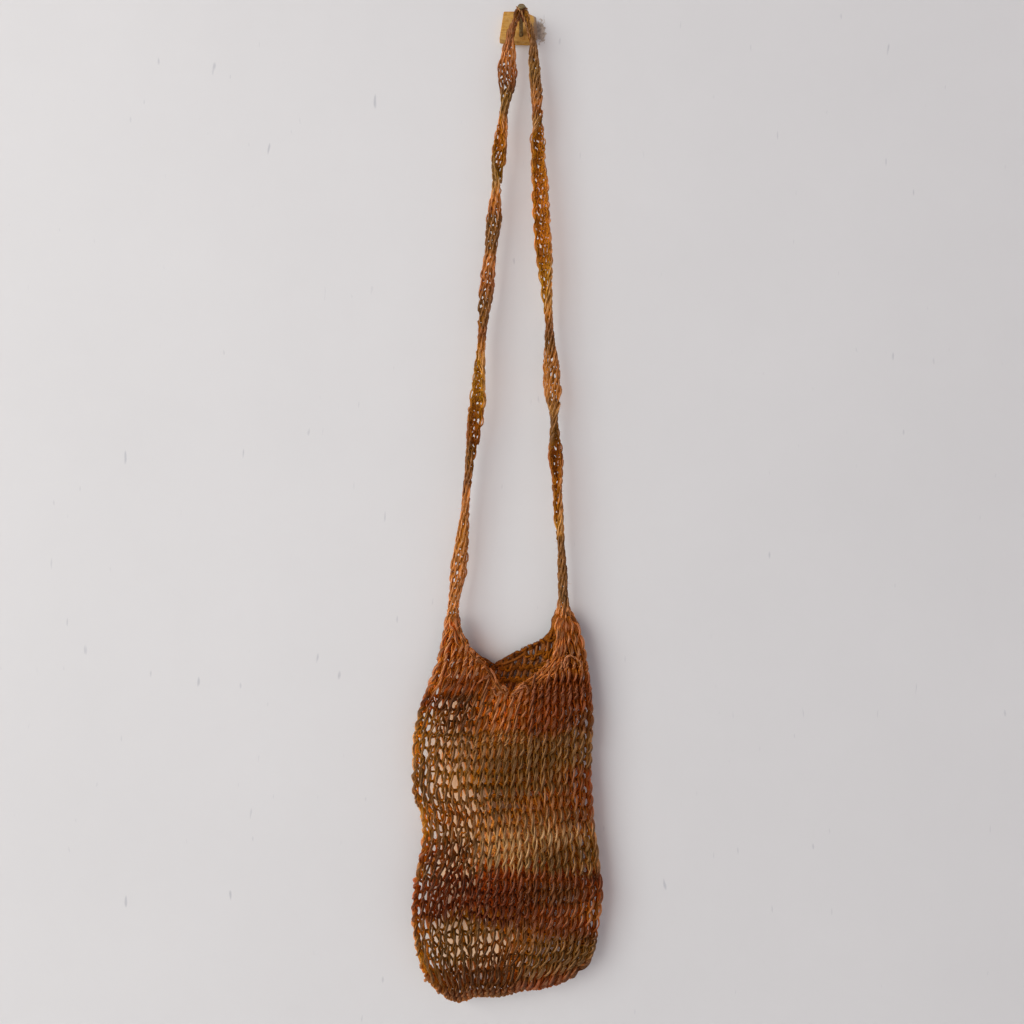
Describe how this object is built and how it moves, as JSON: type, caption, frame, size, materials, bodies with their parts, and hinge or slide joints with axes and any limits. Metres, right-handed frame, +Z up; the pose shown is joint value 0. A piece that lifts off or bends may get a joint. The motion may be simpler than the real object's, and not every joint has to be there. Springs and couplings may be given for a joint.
{
  "type": "bilum string bag on a wall nail",
  "caption": "Small looped string bag with a long narrow shoulder strap, hanging empty and flat from a slanted nail in a small wall block.",
  "frame": {"origin": "middle of the block's flat back, on the wall plane", "axes": "+Z up along the hanging bag, +Y into the wall, so the bag's front faces -Y, and +X to the right as seen from the front"},
  "size_m": [0.1771, 0.0316, 0.9247],
  "materials": {
    "bag_yarn": "looped two-ply plant-fibre yarn, dyed in uneven orange-brown, rust, sand and olive-brown bands",
    "strap_yarn": "the same yarn in orange-brown with dark brown and golden stretches",
    "nail_steel": "dull, weathered, slightly green-brown",
    "block_wood": "matt ochre, worn and chipped at the edges"
  },
  "bodies": {
    "root": {"bag_body": "bag_yarn", "strap": "strap_yarn", "nail": "nail_steel", "wall_block": "block_wood"}
  },
  "joints": []
}
